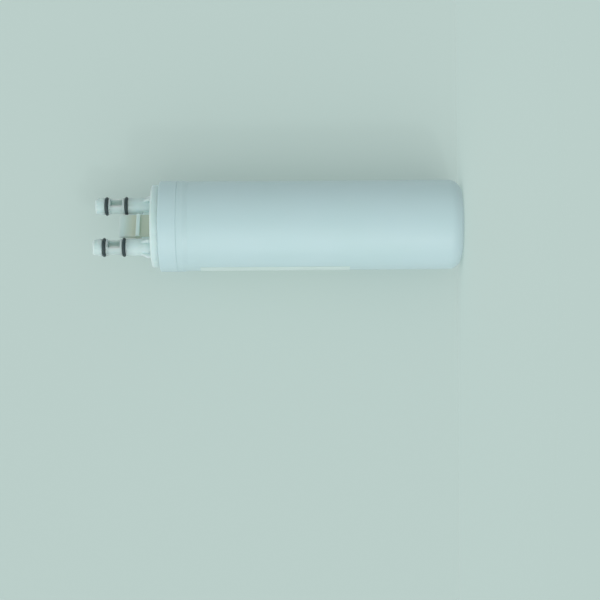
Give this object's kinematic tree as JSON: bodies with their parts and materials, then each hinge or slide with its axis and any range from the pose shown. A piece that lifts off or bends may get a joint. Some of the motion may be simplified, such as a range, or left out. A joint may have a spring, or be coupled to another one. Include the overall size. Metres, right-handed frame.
{
  "type": "refrigerator water filter bypass",
  "caption": "White hollow cartridge-shaped plug with a collar, side-windowed spigots with O-rings and a flat key tongue; it links a fridge's water inlet to its outlet without a filter.",
  "frame": {"origin": "centre of the closed end's flat face, on the body axis", "axes": "+Z along the body from the closed end to the spigots, X through both spigot axes with the outlet on +X, label centred on +Y"},
  "size_m": [0.0576, 0.0576, 0.2323],
  "materials": {
    "white_plastic": "satin",
    "natural_plastic": "milky, slightly see-through",
    "black_rubber": "smooth, lightly greased",
    "label_film": "satin film"
  },
  "bodies": {
    "root": {"housing": "white_plastic", "collar": "white_plastic", "port_head": "natural_plastic", "head_seal": "black_rubber", "inlet_inner_oring": "black_rubber", "inlet_outer_oring": "black_rubber", "outlet_inner_oring": "black_rubber", "outlet_outer_oring": "black_rubber", "label": "label_film"}
  },
  "joints": []
}
